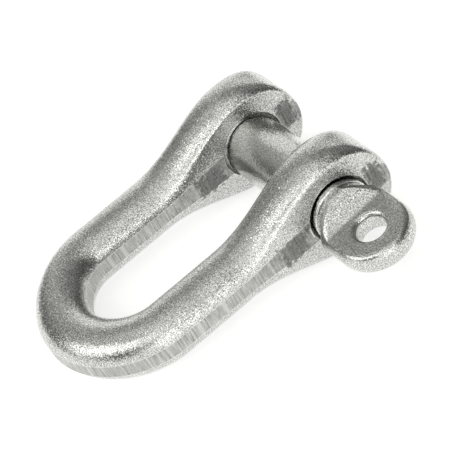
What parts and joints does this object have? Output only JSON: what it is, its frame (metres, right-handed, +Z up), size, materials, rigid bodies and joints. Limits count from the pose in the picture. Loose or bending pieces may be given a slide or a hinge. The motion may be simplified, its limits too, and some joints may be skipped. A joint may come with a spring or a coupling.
{
  "type": "shackle",
  "caption": "Forged steel dee shackle with a long bow, swollen drilled ears and a screw pin with a flattened eye head, lying on its side.",
  "frame": {"origin": "on the ground under the middle of the object's bounding box", "axes": "+X along the pin from its threaded end to its eye, +Y level from the bow towards the ears, +Z up"},
  "size_m": [0.1188, 0.137, 0.0458],
  "materials": {
    "forged_zinc": "bright zinc plating over a grained forging skin",
    "pin_zinc": "bright zinc plating over a turned shank and a forged eye"
  },
  "bodies": {
    "shackle": {"shackle_body": "forged_zinc"},
    "pin": {"eye_pin": "pin_zinc"}
  },
  "joints": [
    {"name": "pin_withdraw", "type": "slide", "parent": "shackle", "child": "pin", "axis": [1, 0, 0], "range_m": [0, 0.0825]}
  ]
}
